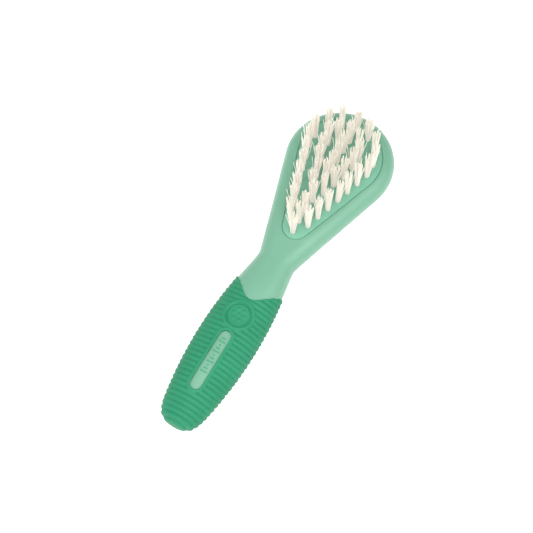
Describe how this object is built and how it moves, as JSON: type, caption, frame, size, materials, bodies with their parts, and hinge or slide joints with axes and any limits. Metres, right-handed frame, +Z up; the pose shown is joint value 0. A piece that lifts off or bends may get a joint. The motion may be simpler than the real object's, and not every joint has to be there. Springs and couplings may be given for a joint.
{
  "type": "pet bristle brush",
  "caption": "Small pet-grooming brush: teardrop head with upright nylon bristle tufts, moulded neck and a ribbed rubber grip.",
  "frame": {"origin": "centre of the footprint, on the plane that the brush's back lies on", "axes": "+Z up, the way the bristles point; +Y along the handle towards the head; +X across the brush"},
  "size_m": [0.0448, 0.152, 0.0309],
  "materials": {
    "body_plastic": "satin",
    "plate_plastic": "satin",
    "grip_rubber": "matte",
    "bristle_nylon": "matte",
    "anchor_wire": "satin"
  },
  "bodies": {
    "root": {"bristle_plate": "plate_plastic", "grip_sleeve": "grip_rubber", "handle_body": "body_plastic", "tuft_anchors": "anchor_wire", "tuft_inner_01": "bristle_nylon", "tuft_inner_02": "bristle_nylon", "tuft_inner_03": "bristle_nylon", "tuft_inner_04": "bristle_nylon", "tuft_inner_05": "bristle_nylon", "tuft_inner_06": "bristle_nylon", "tuft_inner_07": "bristle_nylon", "tuft_inner_08": "bristle_nylon", "tuft_inner_09": "bristle_nylon", "tuft_inner_10": "bristle_nylon", "tuft_inner_11": "bristle_nylon", "tuft_inner_12": "bristle_nylon", "tuft_inner_13": "bristle_nylon", "tuft_middle_01": "bristle_nylon", "tuft_middle_02": "bristle_nylon", "tuft_middle_03": "bristle_nylon", "tuft_middle_04": "bristle_nylon", "tuft_middle_05": "bristle_nylon", "tuft_middle_06": "bristle_nylon", "tuft_middle_07": "bristle_nylon", "tuft_outer_01": "bristle_nylon", "tuft_outer_02": "bristle_nylon", "tuft_outer_03": "bristle_nylon", "tuft_outer_04": "bristle_nylon", "tuft_outer_05": "bristle_nylon", "tuft_outer_06": "bristle_nylon", "tuft_outer_07": "bristle_nylon", "tuft_outer_08": "bristle_nylon", "tuft_outer_09": "bristle_nylon", "tuft_outer_10": "bristle_nylon", "tuft_outer_11": "bristle_nylon", "tuft_outer_12": "bristle_nylon", "tuft_outer_13": "bristle_nylon", "tuft_outer_14": "bristle_nylon", "tuft_outer_15": "bristle_nylon", "tuft_outer_16": "bristle_nylon", "tuft_outer_17": "bristle_nylon", "tuft_outer_18": "bristle_nylon", "tuft_outer_19": "bristle_nylon", "tuft_outer_20": "bristle_nylon", "tuft_outer_21": "bristle_nylon", "tuft_outer_22": "bristle_nylon"}
  },
  "joints": []
}
